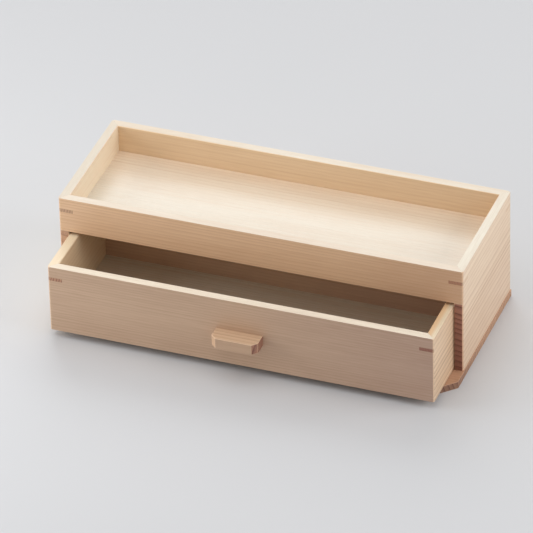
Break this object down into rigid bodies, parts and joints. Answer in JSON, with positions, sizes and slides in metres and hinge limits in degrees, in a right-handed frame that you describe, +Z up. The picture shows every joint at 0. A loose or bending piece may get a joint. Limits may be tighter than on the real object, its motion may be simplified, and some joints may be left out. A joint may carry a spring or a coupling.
{
  "type": "chopstick holder",
  "caption": "Low wooden table box for chopsticks: an open tray on top, and a drawer below it that slides out to the front by a small block pull.",
  "frame": {"origin": "centre of the case's footprint, on the underside of the base board", "axes": "+X to the right along the long side, +Y to the back, +Z up; the drawer slides out along -Y"},
  "size_m": [0.271, 0.146, 0.08],
  "materials": {
    "case_wood": "planed softwood with straight fine grain, unfinished, satin",
    "tray_wood": "planed pale softwood, smooth, satin",
    "base_wood": "planed softwood, end grain showing at its two ends, satin",
    "drawer_wood": "planed softwood with straight fine grain, unfinished, satin",
    "pull_wood": "planed softwood, cut edges eased, satin",
    "key_end_grain": "softwood end grain cut flush, matt"
  },
  "bodies": {
    "case": {"base_board": "base_wood", "left_side_panel": "case_wood", "right_side_panel": "case_wood", "back_panel": "case_wood", "front_rail": "case_wood", "tray_floor": "tray_wood", "case_key_front_left": "key_end_grain", "case_key_front_right": "key_end_grain", "case_key_back_left": "key_end_grain", "case_key_back_right": "key_end_grain"},
    "drawer": {"drawer_front": "drawer_wood", "drawer_back": "drawer_wood", "drawer_left_side": "drawer_wood", "drawer_right_side": "drawer_wood", "drawer_bottom": "drawer_wood", "drawer_pull": "pull_wood", "drawer_key_front_left": "key_end_grain", "drawer_key_front_right": "key_end_grain", "drawer_key_back_left": "key_end_grain", "drawer_key_back_right": "key_end_grain"}
  },
  "joints": [
    {"name": "drawer_slide", "type": "slide", "parent": "case", "child": "drawer", "axis": [0, -1, 0], "range_m": [-0.038, 0.03]}
  ]
}
